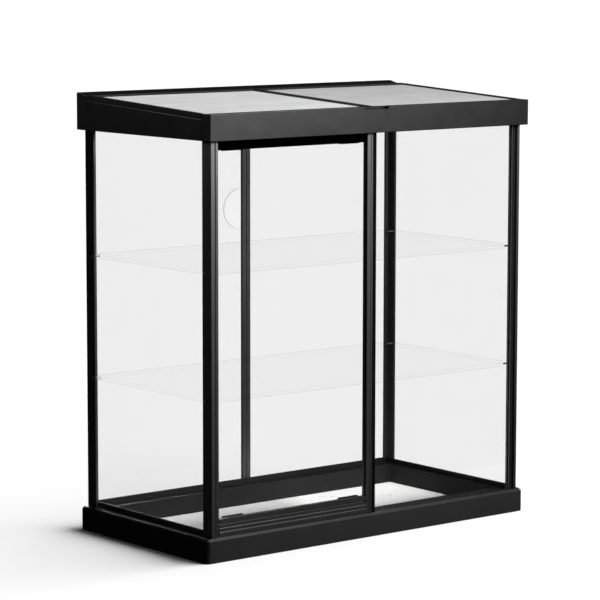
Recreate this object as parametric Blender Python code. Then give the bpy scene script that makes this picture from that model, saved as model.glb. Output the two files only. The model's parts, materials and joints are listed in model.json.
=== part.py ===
"""Tabletop display case with a glazed front door, two clear shelves and a lifting lid.

The case stands on z = 0, centred on x = 0 and y = 0.  +Z is up, -Y is the front.
Depths are measured backwards from the front face of the hood.
"""

import math

import bmesh
import bpy
from mathutils import Vector

MM = 0.001
GAP = 0.3 * MM          # clearance between pieces that touch on the real case
PAST = 5.0 * MM         # how far a cutting tool reaches past the piece

# Overall sizes
HOOD_WIDTH = 600.0 * MM
HOOD_DEPTH = 322.2 * MM
HOOD_BOTTOM = 592.3 * MM
BASE_HALF_WIDTH = 303.6 * MM
BASE_FRONT = 5.6 * MM
BASE_REAR = 316.6 * MM
SILL_TOP = 34.8 * MM

# Base moulding
BASE_WALL = 4.0 * MM
BASE_CORNER = 7.5 * MM
BASE_CHAMFER = 3.2 * MM
WELL_HALF_WIDTH = 272.0 * MM
WELL_FRONT = 38.0 * MM
WELL_REAR = 280.6 * MM
WELL_CORNER = 4.0 * MM
LIP_HEIGHT = 7.0 * MM
LIP_THICK = 2.0 * MM
LIP_FRONT_END = 20.5 * MM
LIP_REAR_END = 303.4 * MM
LIP_JOINT = 0.8 * MM
FLOOR_BOTTOM = 2.0 * MM
FLOOR_THICK = 4.0 * MM
FOOT_SIZE = 40.0 * MM
FOOT_INSET = 2.0 * MM
FOOT_CORNER = 6.0 * MM

# Corner posts: angle sections with thin arms
POST_HALF_SPAN = 292.0 * MM
POST_FRONT = 9.3 * MM
POST_REAR = 312.9 * MM
POST_SIDE_ARM = 20.8 * MM
ARM_THICK = 3.5 * MM
RIB_WIDTH = 6.7 * MM
RIGHT_RIB_WIDTH = 5.0 * MM
RIB_DEPTH = 7.0 * MM
STOP_WIDTH = 3.0 * MM
REAR_ARM = 12.8 * MM
PANE_SLOT = 3.6 * MM
REAR_LIP = 2.0 * MM
REAR_LIP_WIDTH = 6.3 * MM
POST_EDGE = 0.35 * MM

# Mullions
MULLION_RIB_HALF = 1.7 * MM
MULLION_FLANGE_HALF = 8.0 * MM
REAR_MULLION_HALF = 7.9 * MM
REAR_FLANGE_HALF = 5.0 * MM
REAR_FLANGE_THICK = 2.2 * MM
REAR_WEB_HALF = 1.2 * MM
MULLION_GROOVE = 1.1 * MM
MULLION_EDGE = 0.3 * MM

# Clear panes
PANE_THICK = 3.0 * MM
CABLE_NOTCH_RADIUS = 30.5 * MM
CABLE_NOTCH_X = -10.0 * MM
CABLE_NOTCH_Z = 460.6 * MM
GASKET_WIDTH = 6.3 * MM
POST_GASKET_WIDTH = 9.4 * MM
POST_GASKET_BEAD = 4.3 * MM
POST_GASKET_RECESS = 3.5 * MM
GASKET_SLOT_DEPTH = 3.3 * MM

# Shelves
SHELF_THICK = 5.5 * MM
SHELF_BOTTOMS = {"lower": 224.8 * MM, "upper": 405.2 * MM}
SHELF_EDGE = 0.5 * MM
SHELF_HALF_WIDTH = 284.7 * MM
SHELF_FRONT = 20.6 * MM
SHELF_REAR = 301.8 * MM
SHELF_CLIP_FRONT = 12.0 * MM
SHELF_CLIP_REAR = 5.0 * MM
PIN_RADIUS = 1.25 * MM
PIN_HEAD_RADIUS = 2.7 * MM
PIN_HEAD_THICK = 1.2 * MM
PIN_FRONT_DEPTH = 26.0 * MM
PIN_REAR_DEPTH = 296.3 * MM
PIN_TIP_X = 279.0 * MM

# Front door
DOOR_LEFT = -285.0 * MM
DOOR_RIGHT = -1.95 * MM
DOOR_BOTTOM = 35.6 * MM
DOOR_TOP = 591.3 * MM
DOOR_FACE = 9.6 * MM
DOOR_THICK = 6.7 * MM
STILE_WIDTH = 6.6 * MM
BOTTOM_RAIL = 25.6 * MM
TOP_RAIL = 12.4 * MM
DOOR_GROOVE = 2.0 * MM
DOOR_EDGE = 0.4 * MM
STILE_STEP = 2.3 * MM
STILE_STEP_DEPTH = 1.2 * MM
STILE_BACK_CHAMFER = 1.5 * MM
PULL_LOW = 16.4 * MM
PULL_HIGH = 19.6 * MM
PULL_DEPTH = 3.6 * MM
RAIL_LINES = (7.2 * MM, 13.0 * MM)
RAIL_LINE_SIZE = 0.6 * MM
CLIP_LENGTH = 35.0 * MM
CLIP_INSET = 18.0 * MM
CLIP_THICK = 2.5 * MM
CLIP_COVER = 11.0 * MM
CLIP_TOE = 1.1 * MM
PIVOT_CENTRE = 2.3 * MM
PIVOT_RADIUS = 1.2 * MM
PIVOT_DEPTH = 12.0 * MM
PIVOT_SEAT_DEPTH = 4.0 * MM
PIVOT_RISE = 7.5 * MM
MAGNET_RADIUS = 2.0 * MM
MAGNET_THICK = 2.0 * MM
MAGNET_HEIGHT = 585.5 * MM

# Hood
FASCIA_TOP = 630.3 * MM
FASCIA_THICK = 5.0 * MM
RETURN_THICK = 2.7 * MM
RETURN_END = 19.0 * MM
FASCIA_EDGE = 0.7 * MM
NOTCH_WIDTH = 46.0 * MM
NOTCH_DEPTH = 4.2 * MM
NOTCH_CORNER = 1.5 * MM
SIDE_THICK = 6.0 * MM
SIDE_EDGE = 0.5 * MM
RAIL_FRONT = 296.2 * MM
RAIL_WALL = 3.5 * MM
RAIL_RIDGE = 646.8 * MM
RAIL_RIDGE_WIDTH = 4.5 * MM
RAIL_BACK_CHAMFER = 1.5 * MM
RAIL_FRONT_CHAMFER = 1.0 * MM
RAIL_FRONT_TOP = 642.4 * MM
TOP_FRAME_HALF = 293.7 * MM
TOP_FRAME_THICK = 7.4 * MM
TOP_OPENING_HALF = 262.0 * MM
TOP_OPENING_FRONT = 36.0 * MM
TOP_OPENING_REAR = 284.0 * MM
TOP_OPENING_CORNER = 6.0 * MM

# Lid, drawn flat about its hinge axis and then tilted forward
LID_SLOPE = math.atan(0.0489)
LID_THICK = 8.3 * MM
LID_AXIS_DEPTH = 291.5 * MM
LID_TOP_AT_FRONT = 629.6 * MM
RIM = 3.0 * MM
LEDGE = 3.0 * MM
LEDGE_THICK = 2.4 * MM
LEDGE_END = 4.0 * MM
LID_EDGE = 0.4 * MM
PANEL_RECESS = 2.6 * MM
PANEL_THICK = 3.0 * MM
DIVIDER_HALF = 3.8 * MM
LID_FRONT_END = 6.3 * MM
LID_FRONT_RIM_END = 13.0 * MM
LID_SIDE_START = 20.0 * MM
LID_PULL_LIP = 1.8 * MM
LID_PULL_DEPTH = 3.5 * MM
LID_REAR_RIM_START = 282.0 * MM
EAR_INNER_X = 290.3 * MM
EAR_THICK = 3.4 * MM
EAR_LEG = 22.0 * MM
EAR_CHAMFER = 2.0 * MM
EAR_NOTCH_FRONT = 5.2 * MM
LID_PIN_RADIUS = 1.5 * MM
LID_PIN_BURY = 10.0 * MM
LID_PIN_STOP = 2.5 * MM

ROUND_STEPS = 24
END_STEPS = 12
CORNER_STEPS = 8
SMOOTH_ANGLE = math.radians(35)
BEVEL_ANGLE = math.radians(40)
LEVEL_TOLERANCE = 0.001 * MM


# ---------------------------------------------------------------- helpers

def depth(distance):
    """World y of a point this far behind the front face of the hood."""
    return distance - HOOD_DEPTH / 2


def make_material(name, colour, roughness, metallic=0.0, alpha=1.0):
    material = bpy.data.materials.new(name)
    material.use_nodes = True
    shader = material.node_tree.nodes["Principled BSDF"]
    shader.inputs["Base Color"].default_value = (*colour, 1.0)
    shader.inputs["Roughness"].default_value = roughness
    shader.inputs["Metallic"].default_value = metallic
    shader.inputs["Alpha"].default_value = alpha
    material.diffuse_color = (*colour, alpha)
    return material


def finish_object(name, mesh_builder, material, parent=None):
    """Turn a bmesh into an object whose origin is the middle of its box."""
    points = [vertex.co for vertex in mesh_builder.verts]
    low = Vector(min(point[axis] for point in points) for axis in range(3))
    high = Vector(max(point[axis] for point in points) for axis in range(3))
    middle = (low + high) / 2
    bmesh.ops.translate(mesh_builder, vec=-middle, verts=mesh_builder.verts)
    bmesh.ops.recalc_face_normals(mesh_builder, faces=mesh_builder.faces)
    mesh = bpy.data.meshes.new(name)
    mesh_builder.to_mesh(mesh)
    mesh_builder.free()
    piece = bpy.data.objects.new(name, mesh)
    bpy.context.collection.objects.link(piece)
    piece.location = middle
    if parent is not None:
        piece.parent = parent
        if not parent.get("local_drawing"):
            piece.location = middle - parent.location
    if material is not None:
        mesh.materials.append(material)
    return piece


def prism(name, outline, axis, low, high, material=None, parent=None):
    """Extrude a flat outline along X, Y or Z between two planes."""
    places = {"X": lambda u, v, w: (w, u, v),
              "Y": lambda u, v, w: (u, w, v),
              "Z": lambda u, v, w: (u, v, w)}
    place = places[axis]
    builder = bmesh.new()
    ring = [builder.verts.new(place(u, v, low)) for u, v in outline]
    face = builder.faces.new(ring)
    grown = bmesh.ops.extrude_face_region(builder, geom=[face])
    moved = [item for item in grown["geom"] if isinstance(item, bmesh.types.BMVert)]
    bmesh.ops.translate(builder, vec=place(0.0, 0.0, high - low), verts=moved)
    return finish_object(name, builder, material, parent)


def box(name, x, y, z, material=None, parent=None):
    outline = [(x[0], y[0]), (x[1], y[0]), (x[1], y[1]), (x[0], y[1])]
    return prism(name, outline, "Z", z[0], z[1], material, parent)


def arc(centre, radius, start_degrees, end_degrees, steps):
    """Points on a circular arc, both ends included."""
    points = []
    for step in range(steps + 1):
        angle = math.radians(start_degrees + (end_degrees - start_degrees) * step / steps)
        points.append((centre[0] + radius * math.cos(angle),
                       centre[1] + radius * math.sin(angle)))
    return points


def rounded_rectangle(x, y, radius, steps=6):
    corners = [((x[1] - radius, y[1] - radius), 0), ((x[0] + radius, y[1] - radius), 90),
               ((x[0] + radius, y[0] + radius), 180), ((x[1] - radius, y[0] + radius), 270)]
    outline = []
    for centre, start in corners:
        outline += arc(centre, radius, start, start + 90, steps)
    return outline


def rod(name, axis, centre, radius, low, high, material=None, parent=None):
    circle = arc(centre, radius, 0, 360, ROUND_STEPS)[:-1]
    return prism(name, circle, axis, low, high, material, parent)


def turned(name, centre, stations, material=None):
    """Turned piece along X, given as places along its axis and their radii."""
    builder = bmesh.new()
    rings = []
    for x, radius in stations:
        circle = arc(centre, radius, 0, 360, ROUND_STEPS)[:-1]
        rings.append([builder.verts.new((x, y, z)) for y, z in circle])
    builder.faces.new(rings[0])
    builder.faces.new(rings[-1])
    for ring, following in zip(rings, rings[1:]):
        for index in range(ROUND_STEPS):
            after = (index + 1) % ROUND_STEPS
            builder.faces.new((ring[index], ring[after], following[after], following[index]))
    return finish_object(name, builder, material)


def combine(piece, tool, operation):
    """Cut a hidden tool out of a piece, or join it on."""
    tool.name = piece.name + "_tool_" + str(len(piece.modifiers))
    tool.hide_render = True
    tool.display_type = 'WIRE'
    modifier = piece.modifiers.new(operation.lower(), 'BOOLEAN')
    modifier.object = tool
    modifier.operation = operation
    modifier.solver = 'EXACT'


def cut(piece, *tools):
    for tool in tools:
        combine(piece, tool, 'DIFFERENCE')


def join(piece, *tools):
    for tool in tools:
        combine(piece, tool, 'UNION')


def soften(piece, width, segments=2):
    """Break the sharp edges of a piece."""
    modifier = piece.modifiers.new("edges", 'BEVEL')
    modifier.width = width
    modifier.segments = segments
    modifier.limit_method = 'ANGLE'
    modifier.angle_limit = BEVEL_ANGLE
    return modifier


def smooth(piece):
    piece.data.shade_smooth()
    piece.data.set_sharp_from_angle(angle=SMOOTH_ANGLE)


def clear_scene():
    for item in list(bpy.data.objects):
        bpy.data.objects.remove(item, do_unlink=True)


def make_empty(name, place, slope=0.0, local_drawing=False):
    empty = bpy.data.objects.new(name, None)
    bpy.context.collection.objects.link(empty)
    empty.location = place
    empty.rotation_euler = (slope, 0.0, 0.0)
    empty["local_drawing"] = local_drawing
    return empty


# ---------------------------------------------------------------- base

def build_base(black, white, rubber):
    outer = rounded_rectangle((-BASE_HALF_WIDTH, BASE_HALF_WIDTH),
                              (depth(BASE_FRONT), depth(BASE_REAR)), BASE_CORNER)
    base = prism("base_frame", outer, "Z", 0.0, SILL_TOP, black)
    chamfer_top_edge(base, BASE_CHAMFER)
    inner_x = BASE_HALF_WIDTH - BASE_WALL
    inner_y = (depth(BASE_FRONT + BASE_WALL), depth(BASE_REAR - BASE_WALL))
    rebate = rounded_rectangle((-inner_x, inner_x), inner_y, BASE_CORNER - BASE_WALL)
    cut(base, prism("floor_rebate", rebate, "Z", -PAST, FLOOR_BOTTOM + FLOOR_THICK + GAP))
    well = rounded_rectangle((-WELL_HALF_WIDTH, WELL_HALF_WIDTH),
                             (depth(WELL_FRONT), depth(WELL_REAR)), WELL_CORNER)
    cut(base, prism("well", well, "Z", -PAST, SILL_TOP + PAST))
    add_glazing_lips(base)
    cut(base, rod("pivot_hole", "Z", door_axis_place(), PIVOT_RADIUS + GAP,
                  SILL_TOP - PIVOT_SEAT_DEPTH - GAP, SILL_TOP + PAST))
    smooth(base)

    panel_x = inner_x - GAP
    panel_y = (inner_y[0] + GAP, inner_y[1] - GAP)
    panel_outline = rounded_rectangle((-panel_x, panel_x), panel_y, BASE_CORNER - BASE_WALL)
    prism("floor_panel", panel_outline, "Z", FLOOR_BOTTOM, FLOOR_BOTTOM + FLOOR_THICK, white)

    for side_name, side in (("left", -1), ("right", 1)):
        for end_name, end in (("front", -1), ("rear", 1)):
            far_x = side * (panel_x - FOOT_INSET)
            near_x = far_x - side * FOOT_SIZE
            far_y = (panel_y[0] if end < 0 else panel_y[1]) - end * FOOT_INSET
            near_y = far_y - end * FOOT_SIZE
            pad_outline = rounded_rectangle(sorted((far_x, near_x)), sorted((far_y, near_y)),
                                            FOOT_CORNER)
            smooth(prism("foot_pad_" + end_name + "_" + side_name, pad_outline, "Z",
                         0.0, FLOOR_BOTTOM - GAP, rubber))


def chamfer_top_edge(base, width):
    """Bevel only the outer rim of the top face."""
    builder = bmesh.new()
    builder.from_mesh(base.data)
    top = max(vertex.co.z for vertex in builder.verts)
    rim = [edge for edge in builder.edges
           if all(abs(vertex.co.z - top) < LEVEL_TOLERANCE for vertex in edge.verts)]
    bmesh.ops.bevel(builder, geom=rim, offset=width, segments=1, affect='EDGES')
    builder.to_mesh(base.data)
    builder.free()


def add_glazing_lips(base):
    """Upright lips on the sill that the side and rear panes stand against."""
    z = (SILL_TOP - LIP_THICK, SILL_TOP + LIP_HEIGHT)
    pane_inner_x = POST_HALF_SPAN - ARM_THICK - GAP - PANE_THICK
    for side in (-1, 1):
        x = sorted((side * (pane_inner_x - GAP), side * (pane_inner_x - GAP - LIP_THICK)))
        join(base, box("side_lip", x, (depth(LIP_FRONT_END), depth(LIP_REAR_END)), z))
    pane_front = rear_pane_depths()[0]
    y = (depth(pane_front - GAP - LIP_THICK), depth(pane_front - GAP))
    lip_half = POST_HALF_SPAN - REAR_ARM - GAP
    for side in (-1, 1):
        join(base, box("rear_lip", sorted((side * LIP_JOINT / 2, side * lip_half)), y, z))


def rear_pane_depths():
    """Front and rear face of the rear panes, as depths."""
    slot_middle = POST_REAR - REAR_LIP - PANE_SLOT / 2
    return slot_middle - PANE_THICK / 2, slot_middle + PANE_THICK / 2


# ---------------------------------------------------------------- frame

def front_post_outline(side):
    """Angle section with a rib at the outer corner and a stop behind the door."""
    inner_rib = RIB_WIDTH if side < 0 else RIGHT_RIB_WIDTH
    stop_front = RIB_DEPTH + GAP
    stop_back = stop_front + ARM_THICK
    points = [(0, 0), (inner_rib, 0), (inner_rib, stop_front),
              (inner_rib + STOP_WIDTH, stop_front), (inner_rib + STOP_WIDTH, stop_back),
              (ARM_THICK, stop_back), (ARM_THICK, POST_SIDE_ARM), (0, POST_SIDE_ARM)]
    return [(side * (POST_HALF_SPAN - across), depth(POST_FRONT + back)) for across, back in points]


def rear_post_outline(side):
    """Angle section with a slot for the rear pane."""
    slot_outer = REAR_LIP
    slot_inner = REAR_LIP + PANE_SLOT
    arm_back = slot_inner + ARM_THICK
    points = [(0, 0), (REAR_LIP_WIDTH, 0), (REAR_LIP_WIDTH, slot_outer), (ARM_THICK, slot_outer),
              (ARM_THICK, slot_inner), (REAR_ARM, slot_inner), (REAR_ARM, arm_back),
              (ARM_THICK, arm_back), (ARM_THICK, POST_SIDE_ARM), (0, POST_SIDE_ARM)]
    return [(side * (POST_HALF_SPAN - across), depth(POST_REAR - back)) for across, back in points]


def pin_holes(side, end_depth):
    """Stepped holes through a side arm for the shelf pins."""
    outer = side * (POST_HALF_SPAN + PAST)
    for bottom in SHELF_BOTTOMS.values():
        centre = (depth(end_depth), bottom + SHELF_THICK / 2)
        inner = side * (POST_HALF_SPAN - ARM_THICK - PAST)
        step = side * (POST_HALF_SPAN - PIN_HEAD_THICK - GAP)
        yield turned("pin_hole", centre, ((outer, PIN_HEAD_RADIUS + GAP), (step, PIN_HEAD_RADIUS + GAP),
                                          (step, PIN_RADIUS + GAP), (inner, PIN_RADIUS + GAP)))


def build_posts(black):
    bottom = SILL_TOP + GAP
    for side_name, side in (("left", -1), ("right", 1)):
        front = prism("post_front_" + side_name, front_post_outline(side), "Z",
                      bottom, HOOD_BOTTOM, black)
        soften(front, POST_EDGE, 1)
        cut(front, *pin_holes(side, PIN_FRONT_DEPTH))
        rear = prism("post_rear_" + side_name, rear_post_outline(side), "Z",
                     bottom, HOOD_BOTTOM, black)
        soften(rear, POST_EDGE, 1)
        cut(rear, *pin_holes(side, PIN_REAR_DEPTH))


def build_mullions(black, steel):
    rib = MULLION_RIB_HALF
    flange = MULLION_FLANGE_HALF
    front = POST_FRONT
    stop_front = front + RIB_DEPTH + GAP
    stop_back = stop_front + ARM_THICK
    outline = [(-rib, front), (rib, front), (rib, stop_front), (flange, stop_front),
               (flange, stop_back), (-flange, stop_back), (-flange, stop_front), (-rib, stop_front)]
    mullion = prism("front_mullion", [(x, depth(d)) for x, d in outline], "Z",
                    SILL_TOP + GAP, HOOD_BOTTOM, black)
    soften(mullion, MULLION_EDGE, 1)
    strike_x = DOOR_RIGHT - STILE_WIDTH / 2
    pocket_end = stop_front + MAGNET_THICK + GAP
    cut(mullion, rod("strike_pocket", "Y", (strike_x, MAGNET_HEIGHT), MAGNET_RADIUS + GAP,
                     depth(stop_front - GAP), depth(pocket_end)))
    strike = rod("door_strike", "Y", (strike_x, MAGNET_HEIGHT), MAGNET_RADIUS,
                 depth(stop_front), depth(stop_front + MAGNET_THICK), steel)
    smooth(strike)

    half = REAR_MULLION_HALF
    flange = REAR_FLANGE_HALF
    web = REAR_WEB_HALF
    back = POST_REAR
    slot_back = back - REAR_LIP
    slot_front = slot_back - PANE_SLOT
    face = slot_front - REAR_FLANGE_THICK
    groove = MULLION_GROOVE
    outline = [(-flange, back), (-flange, slot_back), (-web, slot_back), (-web, slot_front),
               (-half, slot_front), (-half, face), (-groove, face), (0, face + groove),
               (groove, face), (half, face), (half, slot_front), (web, slot_front),
               (web, slot_back), (flange, slot_back), (flange, back)]
    rear = prism("rear_mullion", [(x, depth(d)) for x, d in outline], "Z",
                 SILL_TOP + GAP, HOOD_BOTTOM, black)
    soften(rear, MULLION_EDGE, 1)
    cut(rear, box("lip_clearance", (-half - PAST, half + PAST),
                  (depth(face - PAST), depth(rear_pane_depths()[0])),
                  (SILL_TOP - PAST, SILL_TOP + LIP_HEIGHT + GAP)))


def build_top_frame(black):
    """Ring that ties the posts together inside the hood."""
    z = (HOOD_BOTTOM + GAP, HOOD_BOTTOM + GAP + TOP_FRAME_THICK)
    y = (depth(FASCIA_THICK + GAP), depth(HOOD_DEPTH - RAIL_WALL - GAP))
    ring = box("top_frame", (-TOP_FRAME_HALF, TOP_FRAME_HALF), y, z, black)
    opening = rounded_rectangle((-TOP_OPENING_HALF, TOP_OPENING_HALF),
                                (depth(TOP_OPENING_FRONT), depth(TOP_OPENING_REAR)),
                                TOP_OPENING_CORNER)
    cut(ring, prism("opening", opening, "Z", z[0] - PAST, z[1] + PAST))
    cut(ring, rod("pivot_hole", "Z", door_axis_place(), PIVOT_RADIUS + GAP,
                  z[0] - PAST, z[1] + PAST))


# ---------------------------------------------------------------- panes and shelves

def build_panes(clear, gasket):
    z = (SILL_TOP + GAP, HOOD_BOTTOM)
    outer_x = POST_HALF_SPAN - ARM_THICK - GAP
    side_front = POST_FRONT + RIB_DEPTH + GAP + ARM_THICK + GAP
    side_rear = POST_REAR - REAR_LIP - PANE_SLOT - ARM_THICK - GAP
    for side_name, side in (("left", -1), ("right", 1)):
        x = sorted((side * outer_x, side * (outer_x - PANE_THICK)))
        pane = box("pane_" + side_name, x, (depth(side_front), depth(side_rear)), z, clear)
        for end_depth in (PIN_FRONT_DEPTH, PIN_REAR_DEPTH):
            for bottom in SHELF_BOTTOMS.values():
                centre = (depth(end_depth), bottom + SHELF_THICK / 2)
                cut(pane, rod("pin_hole", "X", centre, PIN_RADIUS + GAP,
                              x[0] - PAST, x[1] + PAST))

    y = [depth(d) for d in rear_pane_depths()]
    outer_x = POST_HALF_SPAN - ARM_THICK - GAP
    inner_x = REAR_WEB_HALF + GAP
    left = box("pane_rear_left", (-outer_x, -inner_x), y, z, clear)
    notch = arc((CABLE_NOTCH_X, CABLE_NOTCH_Z), CABLE_NOTCH_RADIUS, 0, 360, 2 * ROUND_STEPS)[:-1]
    cut(left, prism("cable_notch", notch, "Y", y[0] - PAST, y[1] + PAST))
    box("pane_rear_right", (inner_x, outer_x), y, z, clear)

    middle = DOOR_FACE + DOOR_THICK / 2
    gasket_y = (depth(DOOR_FACE), depth(DOOR_FACE + DOOR_THICK))
    slot_y = (depth(middle - PANE_SLOT / 2), depth(middle + PANE_SLOT / 2))
    left_x = MULLION_RIB_HALF + GAP
    right_x = POST_HALF_SPAN - RIGHT_RIB_WIDTH - GAP
    bead_x = right_x - POST_GASKET_WIDTH
    strips = {}
    for name, x, slot_x in (
            ("gasket_at_mullion", (left_x, left_x + GASKET_WIDTH),
             (left_x + GASKET_WIDTH - GASKET_SLOT_DEPTH, left_x + GASKET_WIDTH + PAST)),
            ("gasket_at_post", (bead_x, right_x), (bead_x - PAST, bead_x + GASKET_SLOT_DEPTH))):
        strips[name] = box(name, x, gasket_y, z, gasket)
        cut(strips[name], box("slot", slot_x, slot_y, (z[0] - PAST, z[1] + PAST)))
    recess = box("recess", (bead_x + POST_GASKET_BEAD, right_x + PAST),
                 (gasket_y[0] - PAST, gasket_y[0] + POST_GASKET_RECESS), (z[0] - PAST, z[1] + PAST))
    cut(strips["gasket_at_post"], recess)
    pane_x = (left_x + GASKET_WIDTH - GASKET_SLOT_DEPTH + GAP, bead_x + GASKET_SLOT_DEPTH - GAP)
    box("pane_front_right", pane_x, (depth(middle - PANE_THICK / 2), depth(middle + PANE_THICK / 2)),
        z, clear)


def build_shelves(clear, steel):
    front = depth(SHELF_FRONT)
    rear = depth(SHELF_REAR)
    outline = []
    for side in (1, -1):
        edge = side * SHELF_HALF_WIDTH
        corners = [(edge - side * SHELF_CLIP_FRONT, front), (edge, front + SHELF_CLIP_FRONT),
                   (edge, rear - SHELF_CLIP_REAR), (edge - side * SHELF_CLIP_REAR, rear)]
        outline += corners if side > 0 else corners[::-1]
    for level, bottom in SHELF_BOTTOMS.items():
        shelf = prism("shelf_" + level, outline, "Z", bottom, bottom + SHELF_THICK, clear)
        soften(shelf, SHELF_EDGE, 1)
        height = bottom + SHELF_THICK / 2
        for side_name, side in (("left", -1), ("right", 1)):
            for end_name, end_depth in (("front", PIN_FRONT_DEPTH), ("rear", PIN_REAR_DEPTH)):
                centre = (depth(end_depth), height)
                hole_end = side * (PIN_TIP_X - GAP)
                cut(shelf, rod("pin_hole", "X", centre, PIN_RADIUS + GAP,
                               *sorted((side * (SHELF_HALF_WIDTH + PAST), hole_end))))
                build_shelf_pin("shelf_pin_" + level + "_" + end_name + "_" + side_name,
                                side, centre, steel)


def build_shelf_pin(name, side, centre, steel):
    head = side * POST_HALF_SPAN
    shoulder = head - side * PIN_HEAD_THICK
    smooth(turned(name, centre, ((head, PIN_HEAD_RADIUS), (shoulder, PIN_HEAD_RADIUS),
                                 (shoulder, PIN_RADIUS), (side * PIN_TIP_X, PIN_RADIUS)), steel))


# ---------------------------------------------------------------- door

def door_axis_place():
    """World x and y of the upright pivot line in the hinge stile."""
    return DOOR_LEFT + PIVOT_CENTRE, depth(DOOR_FACE + PIVOT_CENTRE)


def build_door(black, clear, steel):
    pivot_x, pivot_y = door_axis_place()
    hinge = make_empty("door_axis", (pivot_x, pivot_y, DOOR_BOTTOM))
    face = depth(DOOR_FACE)
    back = depth(DOOR_FACE + DOOR_THICK)
    middle = (face + back) / 2
    slot_y = (middle - PANE_SLOT / 2, middle + PANE_SLOT / 2)
    pane_z = (DOOR_BOTTOM + BOTTOM_RAIL - DOOR_GROOVE + GAP, DOOR_TOP - TOP_RAIL + DOOR_GROOVE - GAP)
    slot_z = (pane_z[0] - GAP, pane_z[1] + GAP)

    rounded_corner = arc((pivot_x, pivot_y), PIVOT_CENTRE, 180, 270, CORNER_STEPS)
    stile_right = DOOR_LEFT + STILE_WIDTH
    step_x = stile_right - STILE_STEP
    step_y = face + STILE_STEP_DEPTH
    outline = rounded_corner + [(step_x, face), (step_x, step_y), (stile_right, step_y),
                                (stile_right, back), (DOOR_LEFT + STILE_BACK_CHAMFER, back),
                                (DOOR_LEFT, back - STILE_BACK_CHAMFER)]
    stile = prism("door_hinge_stile", outline, "Z", DOOR_BOTTOM, DOOR_TOP, black, hinge)
    groove_left = stile_right - DOOR_GROOVE
    cut(stile, box("slot", (groove_left, stile_right + PAST), slot_y, slot_z, parent=hinge))
    for name, z, bore_z in (
            ("top", (DOOR_TOP - PIVOT_DEPTH, DOOR_TOP + PIVOT_RISE),
             (DOOR_TOP - PIVOT_DEPTH - GAP, DOOR_TOP + PAST)),
            ("bottom", (SILL_TOP - PIVOT_SEAT_DEPTH, DOOR_BOTTOM + PIVOT_DEPTH),
             (DOOR_BOTTOM - PAST, DOOR_BOTTOM + PIVOT_DEPTH + GAP))):
        cut(stile, rod("pivot_bore", "Z", (pivot_x, pivot_y), PIVOT_RADIUS + GAP,
                       bore_z[0], bore_z[1], parent=hinge))
        smooth(rod("door_pivot_pin_" + name, "Z", (pivot_x, pivot_y), PIVOT_RADIUS,
                   z[0], z[1], steel, hinge))
    smooth(stile)

    closing_left = DOOR_RIGHT - STILE_WIDTH
    closing = box("door_closing_stile", (closing_left, DOOR_RIGHT), (face, back),
                  (DOOR_BOTTOM, DOOR_TOP), black, hinge)
    soften(closing, DOOR_EDGE)
    cut(closing, box("slot", (closing_left - PAST, closing_left + DOOR_GROOVE), slot_y, slot_z,
                     parent=hinge))
    magnet_centre = (DOOR_RIGHT - STILE_WIDTH / 2, MAGNET_HEIGHT)
    magnet_back = back
    cut(closing, rod("magnet_pocket", "Y", magnet_centre, MAGNET_RADIUS + GAP,
                     magnet_back - MAGNET_THICK - GAP, back + PAST, parent=hinge))
    smooth(rod("door_magnet", "Y", magnet_centre, MAGNET_RADIUS,
               magnet_back - MAGNET_THICK, magnet_back, steel, hinge))

    rail_x = (stile_right + GAP, closing_left - GAP)
    build_door_rails(rail_x, face, back, slot_y, black, hinge)
    box("door_pane", (groove_left + GAP, closing_left + DOOR_GROOVE - GAP),
        (middle - PANE_THICK / 2, middle + PANE_THICK / 2), pane_z, clear, hinge)
    build_door_clips(back, middle, clear, hinge)


def build_door_rails(rail_x, face, back, slot_y, black, hinge):
    top_z = (DOOR_TOP - TOP_RAIL, DOOR_TOP)
    top = box("door_top_rail", rail_x, (face, back), top_z, black, hinge)
    soften(top, DOOR_EDGE)
    cut(top, box("slot", (rail_x[0] - PAST, rail_x[1] + PAST), slot_y,
                 (top_z[0] - PAST, top_z[0] + DOOR_GROOVE), parent=hinge))

    foot = DOOR_BOTTOM
    head = DOOR_BOTTOM + BOTTOM_RAIL
    pull_floor = face + PULL_DEPTH
    slot_floor = head - DOOR_GROOVE
    outline = [(face, foot), (back, foot), (back, head), (slot_y[1], head),
               (slot_y[1], slot_floor), (slot_y[0], slot_floor), (slot_y[0], head),
               (face, head), (face, foot + PULL_HIGH), (pull_floor, foot + PULL_HIGH),
               (pull_floor, foot + PULL_LOW), (face, foot + PULL_LOW)]
    for height in reversed(RAIL_LINES):
        outline += [(face, foot + height), (face + RAIL_LINE_SIZE, foot + height - RAIL_LINE_SIZE),
                    (face, foot + height - 2 * RAIL_LINE_SIZE)]
    prism("door_bottom_rail", outline, "X", rail_x[0], rail_x[1], black, hinge)


def build_door_clips(back, middle, clear, hinge):
    """Clips behind the rails that hold the pane at its corners."""
    plate = (back + GAP, back + GAP + CLIP_THICK)
    toe = middle + PANE_THICK / 2 + GAP
    low_edge = DOOR_BOTTOM + BOTTOM_RAIL + GAP
    high_edge = DOOR_TOP - TOP_RAIL - GAP
    starts = {"left": DOOR_LEFT + CLIP_INSET, "right": DOOR_RIGHT - CLIP_INSET - CLIP_LENGTH}
    for side_name, x in starts.items():
        bottom = [(plate[0], low_edge - CLIP_COVER), (plate[1], low_edge - CLIP_COVER),
                  (plate[1], low_edge + CLIP_TOE), (toe, low_edge + CLIP_TOE),
                  (toe, low_edge), (plate[0], low_edge)]
        top = [(plate[0], high_edge + CLIP_COVER), (plate[1], high_edge + CLIP_COVER),
               (plate[1], high_edge - CLIP_TOE), (toe, high_edge - CLIP_TOE),
               (toe, high_edge), (plate[0], high_edge)]
        prism("door_clip_bottom_" + side_name, bottom, "X", x, x + CLIP_LENGTH, clear, hinge)
        prism("door_clip_top_" + side_name, top, "X", x, x + CLIP_LENGTH, clear, hinge)


# ---------------------------------------------------------------- hood

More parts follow.
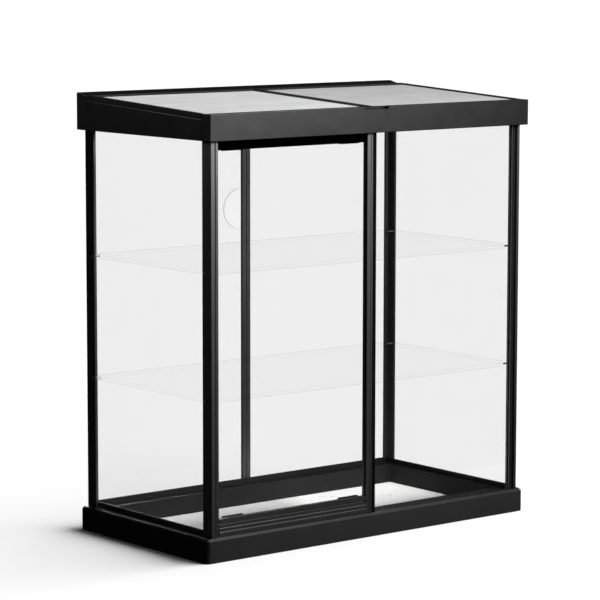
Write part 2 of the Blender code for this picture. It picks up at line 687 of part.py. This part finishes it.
def lid_top_height(distance):
    """World z of the lid's upper plane at a depth."""
    return LID_TOP_AT_FRONT + distance * math.tan(LID_SLOPE)


def lid_axis_height():
    return lid_top_height(LID_AXIS_DEPTH) - LID_THICK / 2 / math.cos(LID_SLOPE)


def build_hood(black):
    half = HOOD_WIDTH / 2
    inner = half - RETURN_THICK
    plan = [(-half, 0), (half, 0), (half, RETURN_END), (inner, RETURN_END),
            (inner, FASCIA_THICK), (-inner, FASCIA_THICK), (-inner, RETURN_END), (-half, RETURN_END)]
    fascia = prism("front_fascia", [(x, depth(d)) for x, d in plan], "Z",
                   HOOD_BOTTOM, FASCIA_TOP, black)
    soften(fascia, FASCIA_EDGE)
    notch = rounded_rectangle((-NOTCH_WIDTH / 2, NOTCH_WIDTH / 2),
                              (FASCIA_TOP - NOTCH_DEPTH, FASCIA_TOP + PAST), NOTCH_CORNER)
    cut(fascia, prism("finger_notch", notch, "Y", depth(-PAST), depth(FASCIA_THICK + PAST)))

    under_lid = LID_THICK / math.cos(LID_SLOPE) + GAP
    side_front = RETURN_END + GAP
    side_rear = RAIL_FRONT - GAP
    side_outline = [(depth(side_front), HOOD_BOTTOM), (depth(side_rear), HOOD_BOTTOM),
                    (depth(side_rear), lid_top_height(side_rear) - under_lid),
                    (depth(side_front), lid_top_height(side_front) - under_lid)]
    for side_name, side in (("left", -1), ("right", 1)):
        x = sorted((side * half, side * (half - SIDE_THICK)))
        board = prism("hood_side_" + side_name, side_outline, "X", x[0], x[1], black)
        soften(board, SIDE_EDGE)
    build_rear_rail(black)


def build_rear_rail(black):
    """Box-shaped rail, open underneath, with plates closing its ends."""
    front = RAIL_FRONT
    back = HOOD_DEPTH
    ridge = RAIL_RIDGE
    corner = RAIL_BACK_CHAMFER
    brow = RAIL_FRONT_TOP - RAIL_FRONT_CHAMFER
    outer = [(back, HOOD_BOTTOM), (back, ridge - corner), (back - corner, ridge),
             (back - corner - RAIL_RIDGE_WIDTH, ridge),
             (front + RAIL_FRONT_CHAMFER, RAIL_FRONT_TOP)]
    foot = HOOD_BOTTOM + TOP_FRAME_THICK + 2 * GAP
    inside = [(front, brow), (front, foot), (front + RAIL_WALL, foot),
              (front + RAIL_WALL, RAIL_FRONT_TOP - RAIL_WALL),
              (back - RAIL_WALL, brow), (back - RAIL_WALL, HOOD_BOTTOM)]
    half = HOOD_WIDTH / 2
    end = half - RETURN_THICK - GAP
    prism("rear_rail", [(depth(d), z) for d, z in outer + inside], "X", -end, end, black)

    cap_outline = outer + [(front, brow), (front, HOOD_BOTTOM)]
    axis = (depth(LID_AXIS_DEPTH), lid_axis_height())
    radius = LID_THICK / 2
    ear_front = (depth(front - GAP) - RAIL_WALL, depth(front - GAP))
    ear_outline = arc(axis, radius, 90, 270, END_STEPS)
    ear_foot = axis[1] - radius - EAR_LEG
    ear_outline += [(ear_front[0], axis[1] - radius), (ear_front[0], ear_foot),
                    (ear_front[1], ear_foot), (ear_front[1], axis[1] + radius - EAR_CHAMFER),
                    (axis[0] + EAR_CHAMFER, axis[1] + radius)]
    for side_name, side in (("left", -1), ("right", 1)):
        x = sorted((side * half, side * (half - RETURN_THICK)))
        cap = prism("rear_end_cap_" + side_name, [(depth(d), z) for d, z in cap_outline],
                    "X", x[0], x[1], black)
        soften(cap, SIDE_EDGE)
        x = sorted((side * EAR_INNER_X, side * (EAR_INNER_X + EAR_THICK)))
        ear = prism("lid_hinge_ear_" + side_name, ear_outline, "X", x[0], x[1], black)
        cut(ear, rod("pin_hole", "X", axis, LID_PIN_RADIUS + GAP, x[0] - PAST, x[1] + PAST))


# ---------------------------------------------------------------- lid

def lid_y(distance):
    """Distance along the tilted lid from its hinge axis, negative towards the front."""
    return (distance - LID_AXIS_DEPTH) / math.cos(LID_SLOPE)


def build_lid(black, frosted, steel):
    place = (0.0, depth(LID_AXIS_DEPTH), lid_axis_height())
    hinge = make_empty("lid_axis", place, LID_SLOPE, local_drawing=True)
    half = HOOD_WIDTH / 2
    top = LID_THICK / 2
    bottom = -top
    seat = bottom + LEDGE_THICK
    round_end = arc((0.0, 0.0), top, -90, 90, END_STEPS)

    start = lid_y(LID_SIDE_START)
    rear_rim = lid_y(LID_REAR_RIM_START)
    front_rim = lid_y(LID_FRONT_RIM_END)
    bar_inner = half - RIM - LEDGE
    for side_name, side in (("left", -1), ("right", 1)):
        x = sorted((side * half, side * bar_inner))
        outline = round_end + [(start, top), (start, bottom)]
        bar = prism("lid_side_" + side_name, outline, "X", x[0], x[1], black, hinge)
        soften(bar, LID_EDGE)
        seat_x = sorted((side * (bar_inner - PAST), side * (half - RIM)))
        cut(bar, box("panel_seat", seat_x, (start - PAST, rear_rim), (seat, top + PAST),
                     parent=hinge))
        pin = (side * (EAR_INNER_X - LID_PIN_BURY), side * (half - LID_PIN_STOP))
        cut(bar, rod("pin_bore", "X", (0.0, 0.0), LID_PIN_RADIUS + GAP,
                     *sorted((side * (bar_inner - PAST), pin[1] + side * GAP)), parent=hinge))
        smooth(rod("lid_hinge_pin_" + side_name, "X", (0.0, 0.0), LID_PIN_RADIUS,
                   *sorted(pin), steel, hinge))

    rear_half = bar_inner - GAP
    outline = round_end + [(rear_rim, top), (rear_rim, seat), (rear_rim - LEDGE_END, seat),
                           (rear_rim - LEDGE_END, bottom)]
    rear_bar = prism("lid_rear_bar", outline, "X", -rear_half, rear_half, black, hinge)
    for side in (-1, 1):
        notch_x = sorted((side * (EAR_INNER_X - GAP), side * (rear_half + PAST)))
        cut(rear_bar, box("ear_notch", notch_x, (-EAR_NOTCH_FRONT, top + PAST),
                          (bottom - PAST, top + PAST), parent=hinge))
        bore_x = sorted((side * (EAR_INNER_X - LID_PIN_BURY - GAP), side * (rear_half + PAST)))
        cut(rear_bar, rod("pin_bore", "X", (0.0, 0.0), LID_PIN_RADIUS + GAP,
                          bore_x[0], bore_x[1], parent=hinge))

    front_half = half - RETURN_THICK - GAP
    front_end = lid_y(LID_FRONT_END)
    outline = [(front_end, bottom), (front_end, top), (front_rim, top), (front_rim, seat),
               (front_rim + LEDGE_END, seat), (front_rim + LEDGE_END, bottom)]
    front_bar = prism("lid_front_bar", outline, "X", -front_half, front_half, black, hinge)
    cut(front_bar, box("finger_pull", (-NOTCH_WIDTH / 2, NOTCH_WIDTH / 2),
                       (front_end - PAST, front_end + LID_PULL_DEPTH),
                       (bottom - PAST, top - LID_PULL_LIP), parent=hinge))

    panel_top = top - PANEL_RECESS
    panel_bottom = panel_top - PANEL_THICK
    full = DIVIDER_HALF
    wide = DIVIDER_HALF + LEDGE
    outline = [(-wide, bottom), (wide, bottom), (wide, seat), (full, seat), (full, top),
               (-full, top), (-full, seat), (-wide, seat)]
    divider_y = (front_rim + GAP, rear_rim - GAP)
    divider = prism("lid_divider", outline, "Y", divider_y[0], divider_y[1], black, hinge)
    for y in ((divider_y[0] - PAST, front_rim + LEDGE_END + GAP),
              (rear_rim - LEDGE_END - GAP, divider_y[1] + PAST)):
        cut(divider, box("ledge_clearance", (-wide - PAST, wide + PAST), y,
                         (bottom - PAST, seat + GAP), parent=hinge))
    for side_name, side in (("left", -1), ("right", 1)):
        x = sorted((side * (full + GAP), side * (half - RIM - GAP)))
        box("lid_panel_" + side_name, x, divider_y, (panel_bottom, panel_top), frosted, hinge)


# ---------------------------------------------------------------- whole case

def main():
    clear_scene()
    black = make_material("satin_black", (0.018, 0.018, 0.019), 0.38)
    white = make_material("white_board", (0.86, 0.86, 0.85), 0.55)
    clear = make_material("clear_acrylic", (0.95, 0.97, 0.97), 0.03, alpha=0.15)
    frosted = make_material("textured_acrylic", (0.82, 0.84, 0.85), 0.45, alpha=0.6)
    steel = make_material("steel", (0.62, 0.62, 0.63), 0.3, metallic=1.0)
    rubber = make_material("black_rubber", (0.015, 0.015, 0.015), 0.75)
    build_base(black, white, rubber)
    build_posts(black)
    build_mullions(black, steel)
    build_top_frame(black)
    build_panes(clear, rubber)
    build_shelves(clear, steel)
    build_door(black, clear, steel)
    build_hood(black)
    build_lid(black, frosted, steel)


main()
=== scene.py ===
"""Looks for the tabletop display case: its materials, the floor, the lights and the camera."""

import json
import math

import bmesh
import bpy
from mathutils import Matrix, Vector

MM = 0.001

CAMERA_PLACE = (-2.6074, -3.2042, 0.8645)
CAMERA_YAW = math.radians(39.02)
CAMERA_PITCH = math.radians(7.32)
CAMERA_ROLL = math.radians(0.08)
CAMERA_LENS = 167.27
SENSOR_WIDTH = 36.0
CAMERA_REACH = 100.0

# The well of the base, and the foot of the upright lips around it
WELL_HALF_WIDTH = 272.2 * MM
WELL_FRONT = -123.3 * MM
WELL_REAR = 119.7 * MM
LIP_FOOT = 35.5 * MM

# Values of a noise: nearly all of them, then those that make rubbed patches with a painted edge
# highlight, wipe marks and specks
NOISE_RANGE = (0.3, 0.7)
WORN_SHEEN_RANGE = (0.45, 0.7)
WIPED_RANGE = (0.45, 0.75)
SPECK_RANGE = (0.35, 0.65)

# The bevelled normal leaves the flat one at an edge; these are the cosines between them
EDGE_RANGE = (0.995, 0.90)
EDGE_SAMPLES = 6
FRESNEL_POWER = 5.0

# A face is turned to an axis where its normal has more than this along it
TURNED = 0.5

# How upright the normal is on a shelf's bevels
BEVEL_LEAST_UP = 0.3
BEVEL_MOST_UP = 0.9

# What a clear sheet lets through, and what is left of it where a shelf's shade is full
CLEAR_TONE = 0.998
SHELF_EDGE_TONE = 0.25

# How strongly the specks of a textured sheet show, and how dark they are next to its dark tone
SPECK_STRENGTH = 0.40
SPECK_TONE = 0.66

# The world's grey as a lamp, and as the backdrop that the camera and clear pieces see
WORLD_GLOW = 0.012
WORLD_SEEN = 1.05
FLOOR_SIZE = 30.0


# ---------------------------------------------------------------- node helpers

class Nodes:
    """Short names for building one material's node tree."""

    def __init__(self, name):
        self.material = bpy.data.materials.new(name)
        self.material.use_nodes = True
        self.tree = self.material.node_tree
        self.shader = self.tree.nodes["Principled BSDF"]
        self.output = self.tree.nodes["Material Output"]
        self.coordinates = self.add("ShaderNodeTexCoord").outputs["Object"]

    def add(self, kind, inputs=None, **settings):
        node = self.tree.nodes.new(kind)
        for key, value in settings.items():
            setattr(node, key, value)
        for key, value in (inputs or {}).items():
            self.put(node.inputs[key], value)
        return node

    def put(self, socket, value):
        if isinstance(value, bpy.types.NodeSocket):
            self.tree.links.new(value, socket)
        else:
            socket.default_value = value

    def set(self, **values):
        """Shader inputs, with _ for the spaces in their names."""
        for key, value in values.items():
            self.put(self.shader.inputs[key.replace("_", " ")], value)

    def stretched(self, x=1.0, y=1.0, z=1.0):
        """Object coordinates, scaled per axis."""
        node = self.add("ShaderNodeMapping", {"Vector": self.coordinates, "Scale": (x, y, z)})
        return node.outputs[0]

    def noise(self, scale, detail=2.0, roughness=0.5, vector=None):
        node = self.add("ShaderNodeTexNoise", {"Vector": vector or self.coordinates, "Scale": scale,
                                               "Detail": detail, "Roughness": roughness})
        return node.outputs["Fac"]

    def pebbles(self, scale):
        node = self.add("ShaderNodeTexVoronoi", {"Vector": self.coordinates, "Scale": scale})
        return node.outputs["Distance"]

    def remap(self, value, source, target):
        """Map one range of values onto another."""
        node = self.add("ShaderNodeMapRange", {"Value": value,
                                               "From Min": source[0], "From Max": source[1],
                                               "To Min": target[0], "To Max": target[1]})
        return node.outputs["Result"]

    def spread(self, noise, low=0.0, high=1.0):
        """Map nearly all of a noise's values onto low to high."""
        return self.remap(noise, NOISE_RANGE, (low, high))

    def math(self, operation, *values):
        return self.add("ShaderNodeMath", dict(enumerate(values)), operation=operation).outputs[0]

    def blend(self, factor, first, second):
        """Colour between two colours."""
        node = self.add("ShaderNodeMix", data_type='RGBA')
        self.put(node.inputs["Factor"], factor)
        colours = [socket for socket in node.inputs if socket.type == 'RGBA']
        self.put(colours[0], first)
        self.put(colours[1], second)
        return [socket for socket in node.outputs if socket.type == 'RGBA'][0]

    def greys(self, factor, first, second, blue=0.0):
        """Colour between two greys."""
        return self.blend(factor, grey(first, blue), grey(second, blue))

    def bump(self, height, distance, strength, normal=None):
        inputs = {"Height": height, "Distance": distance, "Strength": strength}
        if normal is not None:
            inputs["Normal"] = normal
        return self.add("ShaderNodeBump", inputs).outputs["Normal"]

    def facing(self, axis):
        """How far the face's own normal goes along an axis."""
        normal = self.add("ShaderNodeNewGeometry").outputs["True Normal"]
        return self.add("ShaderNodeSeparateXYZ", {0: normal}).outputs[axis]

    def glancing(self, straight):
        """How much a clear sheet mirrors, from straight on to grazing."""
        facing = self.add("ShaderNodeLayerWeight", {"Blend": 0.5}).outputs["Facing"]
        grazing = self.math('MULTIPLY', self.math('POWER', facing, FRESNEL_POWER), 1.0 - straight)
        return self.math('ADD', grazing, straight)

    def show_behind(self, tint, gloss):
        """Mix the shader over a clear one; gloss is how much of it shows."""
        behind = self.add("ShaderNodeBsdfTransparent", {"Color": tint}).outputs[0]
        mixed = self.add("ShaderNodeMixShader", {0: gloss, 1: behind, 2: self.shader.outputs[0]})
        self.put(self.output.inputs["Surface"], mixed.outputs[0])

    def let_lamps_through(self, tint):
        """Rays from lamps pass through, tinted."""
        path = self.add("ShaderNodeLightPath").outputs["Is Shadow Ray"]
        passing = self.add("ShaderNodeBsdfTransparent", {"Color": tint}).outputs[0]
        mixed = self.add("ShaderNodeMixShader", {0: path, 1: self.shader.outputs[0], 2: passing})
        self.put(self.output.inputs["Surface"], mixed.outputs[0])

    def edge_mask(self, radius):
        """1 along the edges of a piece, 0 on its flats."""
        rounded = self.add("ShaderNodeBevel", {"Radius": radius}, samples=EDGE_SAMPLES).outputs[0]
        flat = self.add("ShaderNodeNewGeometry").outputs["Normal"]
        facing = self.add("ShaderNodeVectorMath", {0: rounded, 1: flat}, operation='DOT_PRODUCT')
        return self.remap(facing.outputs["Value"], EDGE_RANGE, (0.0, 1.0))

    def worn_and_sheen(self, body, worn_sheen_grey, radius, scale, wear_and_sheen):
        """The body's colour, lightened towards a grey in patches along the edges: partly wear, partly
        a painted edge highlight.
        """
        patches = self.remap(self.noise(scale, detail=4.0), WORN_SHEEN_RANGE, wear_and_sheen)
        rubbed_and_sheen = self.math('MULTIPLY', self.edge_mask(radius), patches)
        return self.blend(rubbed_and_sheen, body, grey(worn_sheen_grey))


def grey(value, blue=0.0):
    return (value, value, value * (1 + blue), 1.0)


# ---------------------------------------------------------------- materials

def finish_plastic(m, roughness):
    """Satin moulded plastic with a fine spark-eroded grain; its edges are lightened in patches, partly
    wear and partly a painted edge highlight.
    """
    body = m.greys(m.spread(m.noise(9.0, detail=3.0)), 0.0040, 0.0065, blue=0.03)
    grain = m.noise(2600.0, roughness=0.6)
    patches = m.noise(38.0, detail=4.0, roughness=0.6)
    uneven = m.math('ADD', m.spread(grain, -0.04, 0.04), m.spread(patches, -0.03, 0.03))
    m.set(Base_Color=m.worn_and_sheen(body, worn_sheen_grey=0.035, radius=0.8 * MM, scale=160.0, wear_and_sheen=(0.2, 0.8)),
          Roughness=m.math('ADD', uneven, roughness),
          Normal=m.bump(grain, distance=0.05 * MM, strength=0.35), IOR=1.5)


def black_plastic(name, roughness):
    m = Nodes(name)
    finish_plastic(m, roughness)
    return m.material


def base_plastic(outside, inside, added_on_lip):
    """The base moulding, with one roughness outside its well and another in it."""
    m = Nodes("base_plastic")
    place = m.add("ShaderNodeSeparateXYZ", {0: m.coordinates}).outputs
    across = m.math('LESS_THAN', m.math('ABSOLUTE', place["X"]), WELL_HALF_WIDTH)
    along = m.math('MULTIPLY', m.math('GREATER_THAN', place["Y"], WELL_FRONT),
                   m.math('LESS_THAN', place["Y"], WELL_REAR))
    in_well = m.math('MULTIPLY', across, along)
    on_lip = m.math('GREATER_THAN', place["Z"], LIP_FOOT)
    finish_plastic(m, m.math('ADD', m.remap(in_well, (0.0, 1.0), (outside, inside)),
                             m.math('MULTIPLY', on_lip, added_on_lip)))
    return m.material


def painted_aluminium(name, roughness, specular):
    """Satin black coating over an extruded section, with faint draw lines."""
    m = Nodes(name)
    lines = m.noise(900.0, detail=3.0, roughness=0.6, vector=m.stretched(z=0.012))
    grain = m.noise(3200.0, roughness=0.6)
    body = m.greys(m.spread(m.noise(14.0, detail=3.0)), 0.0045, 0.0070, blue=0.02)
    fine = m.bump(grain, distance=0.03 * MM, strength=0.25)
    # Edges lightened in patches: partly wear, partly a painted edge highlight.
    m.set(Base_Color=m.worn_and_sheen(body, worn_sheen_grey=0.04, radius=0.6 * MM, scale=210.0, wear_and_sheen=(0.1, 0.7)),
          Roughness=m.math('ADD', m.spread(lines, roughness - 0.04, roughness + 0.04),
                           m.spread(grain, -0.02, 0.02)),
          Normal=m.bump(lines, distance=0.03 * MM, strength=0.25, normal=fine), IOR=1.8,
          Specular_IOR_Level=specular)
    return m.material


def polish(m, stretched, roughness):
    """A polished sheet's mirror with faint wipe marks; what shows behind it comes later."""
    wipe = m.noise(26.0, detail=5.0, roughness=0.62, vector=stretched)
    m.set(Base_Color=m.greys(m.spread(wipe), 0.93, 0.98, blue=0.01), Metallic=1.0,
          Roughness=m.remap(wipe, WIPED_RANGE, roughness))


def wall_acrylic(name, gloss, across, edge_tone, tone=CLEAR_TONE):
    """Clear sheet that lies across an axis; its cut edges are darker than its flats."""
    m = Nodes(name)
    polish(m, m.stretched(z=0.35), roughness=(0.03, 0.07))
    edge = m.math('LESS_THAN', m.math('ABSOLUTE', m.facing(across)), TURNED)
    m.show_behind(m.greys(edge, tone, edge_tone), m.glancing(gloss))
    return m.material


def shelf_acrylic(bevel_shade, under_shade, side_shade, gloss, shown):
    """The same polished sheet lying flat; its edges are tinted darker, a painted shade that is
    strongest on the bevels underneath.
    """
    m = Nodes("shelf_acrylic")
    polish(m, m.stretched(y=0.5), roughness=(0.04, 0.10))
    upward = m.facing("Z")
    slanted = m.math('LESS_THAN', m.math('ABSOLUTE', upward), BEVEL_MOST_UP)
    bevel = m.math('MULTIPLY', slanted,
                   m.math('GREATER_THAN', m.math('ABSOLUTE', upward), BEVEL_LEAST_UP))
    under = m.math('MULTIPLY', bevel, m.math('LESS_THAN', upward, 0.0))
    side = m.math('SUBTRACT', slanted, bevel)
    bevels = m.math('ADD', m.math('MULTIPLY', bevel, bevel_shade),
                    m.math('MULTIPLY', under, under_shade))
    shade = m.math('ADD', bevels, m.math('MULTIPLY', side, side_shade))
    m.show_behind(m.greys(shade, CLEAR_TONE, SHELF_EDGE_TONE),
                  m.math('MULTIPLY', m.glancing(gloss), shown))
    return m.material


def textured_acrylic(name, dark, light, streaks):
    """Translucent sheet with a fine prismatic texture and faint streaks along it."""
    m = Nodes(name)
    pebbles = m.pebbles(900.0)
    specks = m.remap(m.noise(700.0), SPECK_RANGE, (0.0, SPECK_STRENGTH))
    drawn = m.noise(150.0, detail=3.0, roughness=0.6, vector=m.stretched(x=0.05))
    uneven = m.math('ADD', m.spread(m.noise(24.0, detail=3.0), high=1.0 - streaks),
                    m.remap(drawn, SPECK_RANGE, (0.0, streaks)))
    base = m.greys(uneven, dark, light, blue=0.01)
    m.set(Base_Color=m.blend(specks, base, grey(dark * SPECK_TONE)),
          Roughness=m.remap(pebbles, (0.0, 0.7), (0.30, 0.48)),
          Transmission_Weight=0.25, IOR=1.49,
          Normal=m.bump(pebbles, distance=0.12 * MM, strength=0.6))
    m.let_lamps_through(grey(0.75))
    return m.material


def white_board():
    m = Nodes("white_board")
    m.set(Base_Color=m.greys(m.spread(m.noise(5.0, detail=4.0)), 0.84, 0.88, blue=-0.01),
          Roughness=m.spread(m.noise(60.0, detail=4.0), 0.26, 0.38),
          Normal=m.bump(m.noise(420.0), distance=0.08 * MM, strength=0.2))
    return m.material


def steel():
    m = Nodes("steel")
    rings = m.noise(1500.0, detail=3.0, roughness=0.6)
    m.set(Base_Color=m.greys(m.spread(rings), 0.72, 0.88), Metallic=1.0,
          Roughness=m.spread(rings, 0.28, 0.46),
          Normal=m.bump(rings, distance=0.02 * MM, strength=0.4))
    return m.material


def rubber():
    m = Nodes("rubber")
    grain = m.noise(1800.0, detail=3.0, roughness=0.6)
    m.set(Base_Color=m.greys(m.spread(m.noise(40.0, detail=3.0)), 0.0015, 0.0030),
          Roughness=m.spread(grain, 0.82, 0.95),
          Normal=m.bump(grain, distance=0.08 * MM, strength=0.5),
          Specular_IOR_Level=0.04)
    return m.material


def post_gasket():
    """Matt black seal whose face towards the pane is painted pale and satin: a painted highlight for
    the light on that side.
    """
    m = Nodes("post_gasket")
    grain = m.noise(1800.0, detail=3.0, roughness=0.6)
    painted_lit_side = m.math('LESS_THAN', m.facing("X"), -TURNED)
    m.set(Base_Color=m.greys(painted_lit_side, 0.0035, 0.60),
          Roughness=m.math('ADD', m.remap(painted_lit_side, (0.0, 1.0), (0.92, 0.45)),
                           m.spread(grain, -0.03, 0.03)),
          Normal=m.bump(grain, distance=0.05 * MM, strength=0.3), IOR=1.35)
    return m.material


def paint(frame):
    """Give each CAD node the material of its slot in the record, then some their own."""
    by_slot = {
        "black_plastic": black_plastic("black_plastic", roughness=0.37),
        "painted_aluminium": painted_aluminium("painted_aluminium", roughness=0.40, specular=0.95),
        "clear_acrylic": wall_acrylic("clear_acrylic", gloss=0.092, across="Y", edge_tone=0.80),
        "textured_acrylic": textured_acrylic("textured_acrylic", dark=0.46, light=0.66, streaks=0.6),
        "white_board": white_board(),
        "steel": steel(),
        "rubber": rubber(),
    }
    for part in frame["record"]["subparts"]:
        node = frame["nodes"][part["node"]]
        node.data.materials.clear()
        node.data.materials.append(by_slot[part["material_slot"]])
    shelf = shelf_acrylic(bevel_shade=0.13, under_shade=0.32, side_shade=0.015, gloss=0.04, shown=0.03)
    rear = wall_acrylic("rear_acrylic", gloss=0.012, across="Y", edge_tone=0.70)
    # The clear clips are tinted near black: painted shade standing in for the dark outlines they show.
    clip = wall_acrylic("clip_acrylic", gloss=0.05, across="Y", edge_tone=0.03, tone=0.12)
    own = {
        "base_frame": base_plastic(outside=0.48, inside=0.86, added_on_lip=0.14),
        "door_top_rail": painted_aluminium("shaded_rail", roughness=0.85, specular=0.0),
        "shelf_lower": shelf,
        "shelf_upper": shelf,
        "pane_left": wall_acrylic("left_acrylic", gloss=0.084, across="X", edge_tone=0.80),
        "pane_right": wall_acrylic("right_acrylic", gloss=0.012, across="X", edge_tone=0.80),
        "pane_rear_left": rear,
        "pane_rear_right": rear,
        "gasket_at_post": post_gasket(),
        "lid_rear_bar": black_plastic("lid_bar_plastic", roughness=0.86),
        # The right lid panel is the same textured sheet in darker tones: painted shade.
        "lid_panel_right": textured_acrylic("shaded_lid_acrylic", dark=0.36, light=0.50, streaks=0.6),
    }
    for end in ("bottom_left", "bottom_right", "top_left", "top_right"):
        own["door_clip_" + end] = clip
    for name, material in own.items():
        frame["nodes"][name].data.materials[0] = material


# ---------------------------------------------------------------- stage

def add_to_scene(name, data):
    piece = bpy.data.objects.new(name, data)
    bpy.context.scene.collection.objects.link(piece)
    return piece


def group(name, pieces):
    members = bpy.data.collections.new(name)
    for piece in pieces:
        members.objects.link(piece)
    return members


def towards(heading):
    """The turn that points a lamp or camera along a heading."""
    return Vector(heading).to_track_quat('-Z', 'Y')


def build_floor():
    mesh = bpy.data.meshes.new("floor")
    builder = bmesh.new()
    bmesh.ops.create_grid(builder, x_segments=1, y_segments=1, size=FLOOR_SIZE)
    builder.to_mesh(mesh)
    builder.free()
    floor = add_to_scene("floor", mesh)
    m = Nodes("floor")
    m.set(Base_Color=m.greys(m.noise(3.0), 0.80, 0.81), Roughness=0.9, Specular_IOR_Level=0.0)
    mesh.materials.append(m.material)
    floor.visible_glossy = False
    floor.visible_diffuse = False
    return floor


def soft_light(name, place, aim, size, watts, lit):
    """A square lamp that lights only the given pieces."""
    lamp = bpy.data.lights.new(name, 'AREA')
    lamp.shape = 'RECTANGLE'
    lamp.size = lamp.size_y = size
    lamp.energy = watts
    piece = add_to_scene(name, lamp)
    piece.location = place
    piece.rotation_euler = towards(Vector(aim) - Vector(place)).to_euler()
    piece.light_linking.receiver_collection = group("lit_by_" + name, lit)


def sun_light(name, strength, degrees, heading, lit, blockers=None):
    """A sun that lights only the given pieces. Where blockers are given, only they shade them."""
    lamp = bpy.data.lights.new(name, 'SUN')
    lamp.energy = strength
    lamp.angle = math.radians(degrees)
    piece = add_to_scene(name, lamp)
    piece.rotation_euler = towards(heading).to_euler()
    piece.visible_glossy = False
    piece.light_linking.receiver_collection = group("lit_by_" + name, lit)
    if blockers:
        piece.light_linking.blocker_collection = blockers


def build_suns(nodes, floor):
    low_pieces = group("low_pieces", [
        nodes["base_frame"], nodes["door_bottom_rail"], nodes["post_front_left"]])
    floor_panel = [nodes["floor_panel"]]
    sun_light("room_light", strength=1.9, degrees=80, heading=(-0.75, 0.35, -1.0),
              lit=[nodes[name] for name in sorted(set(nodes) - {"floor_panel"})] + [floor])
    sun_light("floor_light", strength=4.5, degrees=60, heading=(-0.9, 0.6, -0.8),
              lit=[floor, nodes["lid_panel_left"], nodes["lid_panel_right"]],
              blockers=low_pieces)
    sun_light("well_light", strength=0.8, degrees=60, heading=(0.0, 0.0, -1.0),
              lit=floor_panel, blockers=low_pieces)
    sun_light("low_light", strength=19.0, degrees=10, heading=(0.25, 1.0, -0.205),
              lit=floor_panel, blockers=low_pieces)


def build_lamps(frame):
    nodes = frame["nodes"]
    clear = {part["node"] for part in frame["record"]["subparts"]
             if part["material_slot"].endswith("acrylic")}
    left_faces = {"hood_side_left", "rear_end_cap_left", "lid_side_left", "lid_hinge_ear_left",
                  "front_fascia", "top_frame", "post_front_left", "gasket_at_post",
                  "door_hinge_stile"}

    def pieces(names):
        return [nodes[name] for name in sorted(names)]

    open_faces = pieces(set(nodes) - {"door_top_rail"})
    frame_only = pieces(set(nodes) - clear - {"floor_panel", "gasket_at_post"})
    soft_light("key", place=(0.80, -1.5, 1.12), aim=(0.0, -0.16, 0.55), size=0.6, watts=16.0,
               lit=open_faces)
    soft_light("near", place=(0.20, -0.90, 0.95), aim=(-0.2, -0.16, 0.60), size=0.3, watts=9.4,
               lit=open_faces)
    soft_light("sill", place=(0.80, -1.20, 0.28), aim=(0.0, -0.16, 0.02), size=0.3, watts=3.0,
               lit=pieces({"base_frame"}))
    soft_light("fill", place=(-0.80, 0.48, 0.95), aim=(-0.3, -0.1, 0.55), size=0.3, watts=1.4,
               lit=pieces(left_faces))
    soft_light("rear", place=(0.70, 1.90, 0.45), aim=(0.0, 0.16, 0.35), size=0.6, watts=14.0,
               lit=frame_only)
    soft_light("right", place=(1.70, 0.15, 0.45), aim=(0.3, 0.0, 0.35), size=0.6, watts=7.0,
               lit=frame_only)


def build_world():
    """A backdrop that looks white but gives the case hardly any light."""
    world = bpy.data.worlds.new("studio")
    bpy.context.scene.world = world
    world.use_nodes = True
    tree = world.node_tree
    plain = tree.nodes["Background"]
    plain.inputs["Color"].default_value = grey(WORLD_GLOW)
    white = tree.nodes.new("ShaderNodeBackground")
    white.inputs["Color"].default_value = grey(WORLD_SEEN)
    path = tree.nodes.new("ShaderNodeLightPath")
    seen = tree.nodes.new("ShaderNodeMath")
    seen.operation = 'MAXIMUM'
    tree.links.new(path.outputs["Is Camera Ray"], seen.inputs[0])
    tree.links.new(path.outputs["Is Transmission Ray"], seen.inputs[1])
    mixed = tree.nodes.new("ShaderNodeMixShader")
    tree.links.new(seen.outputs[0], mixed.inputs[0])
    tree.links.new(plain.outputs[0], mixed.inputs[1])
    tree.links.new(white.outputs[0], mixed.inputs[2])
    tree.links.new(mixed.outputs[0], tree.nodes["World Output"].inputs["Surface"])


def build_camera():
    camera = bpy.data.cameras.new("camera")
    camera.lens = CAMERA_LENS
    camera.sensor_width = SENSOR_WIDTH
    camera.clip_end = CAMERA_REACH
    piece = add_to_scene("camera", camera)
    turn = towards((math.sin(CAMERA_YAW) * math.cos(CAMERA_PITCH),
                    math.cos(CAMERA_YAW) * math.cos(CAMERA_PITCH),
                    -math.sin(CAMERA_PITCH))).to_matrix().to_4x4()
    piece.matrix_world = (Matrix.Translation(CAMERA_PLACE) @ turn
                          @ Matrix.Rotation(CAMERA_ROLL, 4, 'Z'))
    bpy.context.scene.camera = piece


def set_up_picture():
    scene = bpy.context.scene
    scene.view_settings.view_transform = 'Standard'
    scene.cycles.max_bounces = 16
    scene.cycles.transmission_bounces = 16
    scene.cycles.transparent_max_bounces = 24
    scene.cycles.glossy_bounces = 6
    scene.cycles.caustics_refractive = False
    scene.cycles.caustics_reflective = False


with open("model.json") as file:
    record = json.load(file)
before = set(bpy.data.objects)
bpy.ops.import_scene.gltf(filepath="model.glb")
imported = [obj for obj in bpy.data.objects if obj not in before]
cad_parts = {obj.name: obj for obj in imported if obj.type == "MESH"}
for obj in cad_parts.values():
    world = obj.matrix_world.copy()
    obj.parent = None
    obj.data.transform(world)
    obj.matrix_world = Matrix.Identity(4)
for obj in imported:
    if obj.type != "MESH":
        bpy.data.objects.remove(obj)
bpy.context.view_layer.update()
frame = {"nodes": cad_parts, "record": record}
paint(frame)
build_suns(frame["nodes"], build_floor())
build_lamps(frame)
build_world()
build_camera()
set_up_picture()
